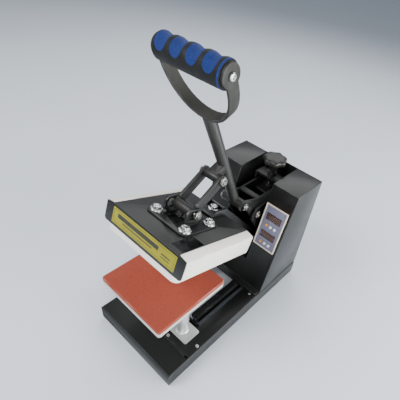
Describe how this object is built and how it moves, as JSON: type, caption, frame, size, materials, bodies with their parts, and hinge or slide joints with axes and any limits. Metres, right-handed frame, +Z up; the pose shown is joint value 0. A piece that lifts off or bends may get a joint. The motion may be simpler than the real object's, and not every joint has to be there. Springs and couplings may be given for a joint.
{
  "type": "clamshell label heat press",
  "caption": "Small clamshell heat press with a square silicone pad, a tilting heated platen, a toggle handle and a housing with a control panel.",
  "frame": {"origin": "centre of the footprint, on the bench", "axes": "+Z up; the handle and the platen's front face -Y; +X is the right-hand side, with the control panel"},
  "size_m": [0.198, 0.39, 0.5229],
  "materials": {
    "black_paint": "satin black powder coat",
    "dark_steel": "dark grey paint",
    "cream_paint": "off-white satin paint",
    "bare_steel": "zinc plated, brushed",
    "chrome": "bright plated",
    "aluminium": "machined, matt",
    "silicone": "red-orange silicone sponge",
    "rubber": "matt black",
    "foam": "black soft grip with blue panels",
    "black_plastic": "matt moulded",
    "cream_plastic": "cream satin",
    "panel_face": "printed grey-lilac overlay",
    "display": "dark brown tinted window",
    "orange_plastic": "satin",
    "white_plastic": "satin",
    "circuit_board": "green solder mask",
    "insulation": "mineral wool"
  },
  "bodies": {
    "press_body": {"base_frame": "black_paint", "base_deck": "black_paint", "base_foot_front_left": "rubber", "base_foot_front_right": "rubber", "base_foot_rear_left": "rubber", "base_foot_rear_right": "rubber", "silicone_pad": "silicone", "lower_platen_plate": "aluminium", "support_foot": "bare_steel", "support_post_left": "bare_steel", "support_post_right": "bare_steel", "housing_shell": "black_paint", "rear_panel": "black_paint", "power_inlet": "black_plastic", "power_transformer": "dark_steel", "control_bezel": "cream_plastic", "control_faceplate": "panel_face", "control_board": "circuit_board", "display_window_upper": "display", "display_window_lower": "display", "pivot_frame": "black_paint", "rear_pivot_shaft": "bare_steel", "pressure_arm_bolt": "chrome", "spring_anchor_bar": "dark_steel", "return_spring_left": "dark_steel", "return_spring_right": "dark_steel"},
    "rocker": {"power_switch": "black_plastic"},
    "key_upper_set": {"button_upper_set": "orange_plastic"},
    "key_upper_down": {"button_upper_down": "white_plastic"},
    "key_upper_up": {"button_upper_up": "white_plastic"},
    "key_lower_set": {"button_lower_set": "orange_plastic"},
    "key_lower_down": {"button_lower_down": "white_plastic"},
    "key_lower_up": {"button_lower_up": "white_plastic"},
    "adjuster": {"screw_foot": "dark_steel", "pressure_screw": "dark_steel", "pressure_knob": "black_plastic"},
    "pressure_beam": {"pressure_arm": "dark_steel"},
    "handle": {"handle_lever": "dark_steel", "handle_strap": "dark_steel", "handle_grip": "foam", "grip_bolt": "chrome", "lever_pivot_bolt": "chrome"},
    "link": {"link_frame": "dark_steel", "link_upper_bolt": "chrome", "link_lower_bolt": "chrome", "stop_bolt": "dark_steel"},
    "upper_platen": {"swing_arm": "black_paint", "platen_bracket": "black_paint", "platen_top_cover": "black_paint", "side_cover_left": "cream_paint", "side_cover_right": "cream_paint", "heat_platen": "aluminium", "insulation_mat": "insulation", "platen_bolt_front_left": "chrome", "platen_bolt_front_right": "chrome", "platen_bolt_rear_left": "chrome", "platen_bolt_rear_right": "chrome", "arm_bolt": "chrome"},
    "spring_pull": {"spring_rod_left": "dark_steel", "spring_rod_right": "dark_steel"}
  },
  "joints": [
    {"name": "platen_swing", "type": "hinge", "parent": "press_body", "child": "upper_platen", "pos_m": [0, 0.1226, 0.1015], "axis": [1, 0, 0], "range_deg": [0, 18.38]},
    {"name": "lever_turn", "type": "hinge", "parent": "pressure_beam", "child": "handle", "pos_m": [0, 0.0509, 0.238], "axis": [1, 0, 0], "range_deg": [0, 56.5]},
    {"name": "spring_stretch", "type": "slide", "parent": "press_body", "child": "spring_pull", "axis": [0, 1, 0], "range_m": [0, 0.0259]},
    {"name": "link_turn", "type": "hinge", "parent": "handle", "child": "link", "pos_m": [0, -0.016, 0.3222], "axis": [1, 0, 0], "range_deg": [-76.3, 0]},
    {"name": "beam_tilt", "type": "hinge", "parent": "press_body", "child": "pressure_beam", "pos_m": [0, 0.088, 0.203], "axis": [1, 0, 0], "range_deg": [-0.56, 0.56]},
    {"name": "knob_turn", "type": "hinge", "parent": "press_body", "child": "adjuster", "pos_m": [0, 0.165, 0.27], "axis": [0, 0, 1], "range_deg": [-180, 180]},
    {"name": "rocker_tilt", "type": "hinge", "parent": "press_body", "child": "rocker", "pos_m": [-0.052, 0.1885, 0.074], "axis": [1, 0, 0], "range_deg": [-14, 0]},
    {"name": "press_upper_set", "type": "slide", "parent": "press_body", "child": "key_upper_set", "axis": [0, 0.9757, -0.219], "range_m": [0, 0.001], "stiffness_N_per_m": 200},
    {"name": "press_upper_down", "type": "slide", "parent": "press_body", "child": "key_upper_down", "axis": [0, 0.9757, -0.219], "range_m": [0, 0.001], "stiffness_N_per_m": 200},
    {"name": "press_upper_up", "type": "slide", "parent": "press_body", "child": "key_upper_up", "axis": [0, 0.9757, -0.219], "range_m": [0, 0.001], "stiffness_N_per_m": 200},
    {"name": "press_lower_set", "type": "slide", "parent": "press_body", "child": "key_lower_set", "axis": [0, 0.9757, -0.219], "range_m": [0, 0.001], "stiffness_N_per_m": 200},
    {"name": "press_lower_down", "type": "slide", "parent": "press_body", "child": "key_lower_down", "axis": [0, 0.9757, -0.219], "range_m": [0, 0.001], "stiffness_N_per_m": 200},
    {"name": "press_lower_up", "type": "slide", "parent": "press_body", "child": "key_lower_up", "axis": [0, 0.9757, -0.219], "range_m": [0, 0.001], "stiffness_N_per_m": 200}
  ],
  "couplings": [
    {"joint": "lever_turn", "follows": "platen_swing", "ratio": 3.0692},
    {"joint": "link_turn", "follows": "platen_swing", "ratio": -4.1451},
    {"joint": "spring_stretch", "follows": "platen_swing", "m_per_rad": 0.08019},
    {"joint": "knob_turn", "follows": "beam_tilt", "ratio": 322.54}
  ]
}
